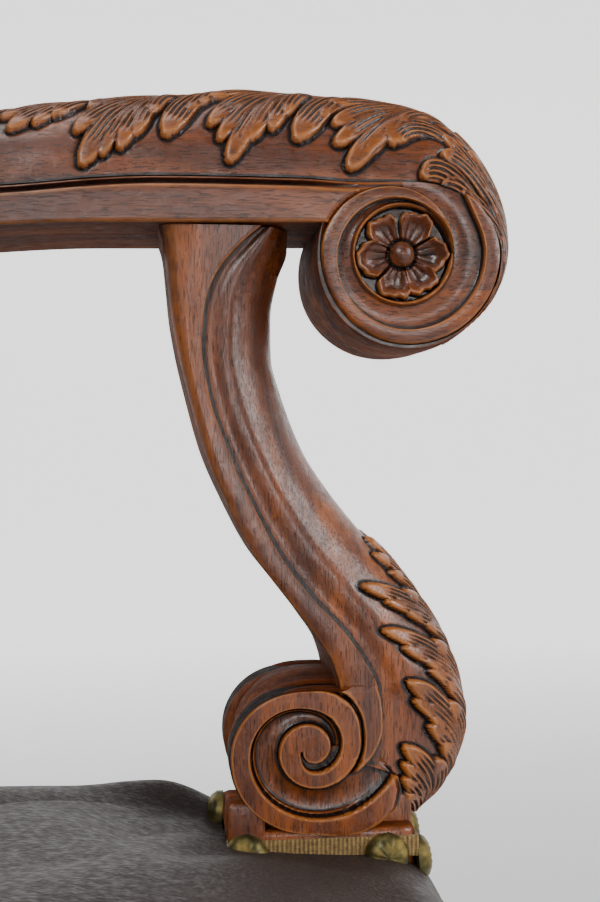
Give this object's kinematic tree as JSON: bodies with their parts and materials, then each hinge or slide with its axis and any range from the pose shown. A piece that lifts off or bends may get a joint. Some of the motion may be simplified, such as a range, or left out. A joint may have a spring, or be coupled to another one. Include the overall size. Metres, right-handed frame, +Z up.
{
  "type": "carved open armchair",
  "caption": "High-backed open armchair with scrolled carved arms on S-scroll supports, a leather seat and back with brass nails, scroll front legs and stretchers.",
  "frame": {"origin": "on the floor under the middle of the overall box", "axes": "+Z up, the chair faces -Y, +X towards the sitter's left arm"},
  "size_m": [0.6608, 0.655, 1.1421],
  "materials": {
    "walnut": "waxed dark walnut, worn brighter on the carved edges",
    "beech": "unfinished beech inside the upholstery",
    "leather": "dark brown leather with a fine pebble",
    "braid_and_nails": "tan ribbed braid with lobed, tarnished brass nail heads",
    "jute": "plain woven jute",
    "horsehair": "stitched horsehair stuffing",
    "steel": "plain wood screws"
  },
  "bodies": {
    "root": {"arm_left": "walnut", "arm_right": "walnut", "arm_support_left": "walnut", "arm_support_right": "walnut", "back_banding_left": "braid_and_nails", "back_banding_right": "braid_and_nails", "back_leather_front": "leather", "back_leather_rear": "leather", "back_lower_rail": "beech", "back_stuffing": "horsehair", "back_top_rail": "beech", "back_web_across_1": "jute", "back_web_across_2": "jute", "back_web_upright_1": "jute", "back_web_upright_2": "jute", "block_braid_left": "braid_and_nails", "block_braid_right": "braid_and_nails", "corner_block_front_left": "beech", "corner_block_front_right": "beech", "corner_block_rear_left": "beech", "corner_block_rear_right": "beech", "corner_screw_front_left": "steel", "corner_screw_front_right": "steel", "corner_screw_rear_left": "steel", "corner_screw_rear_right": "steel", "cross_stretcher": "walnut", "front_foot_left": "walnut", "front_foot_right": "walnut", "front_leg_left": "walnut", "front_leg_right": "walnut", "front_seat_rail": "beech", "rear_post_left": "walnut", "rear_post_right": "walnut", "rear_seat_rail": "beech", "rear_stretcher": "walnut", "seat_banding_front": "braid_and_nails", "seat_banding_left": "braid_and_nails", "seat_banding_right": "braid_and_nails", "seat_hessian": "jute", "seat_leather": "leather", "seat_stuffing": "horsehair", "seat_web_across_1": "jute", "seat_web_across_2": "jute", "seat_web_across_3": "jute", "seat_web_along_1": "jute", "seat_web_along_2": "jute", "seat_web_along_3": "jute", "side_seat_rail_left": "beech", "side_seat_rail_right": "beech", "side_stretcher_left": "walnut", "side_stretcher_right": "walnut"}
  },
  "joints": []
}
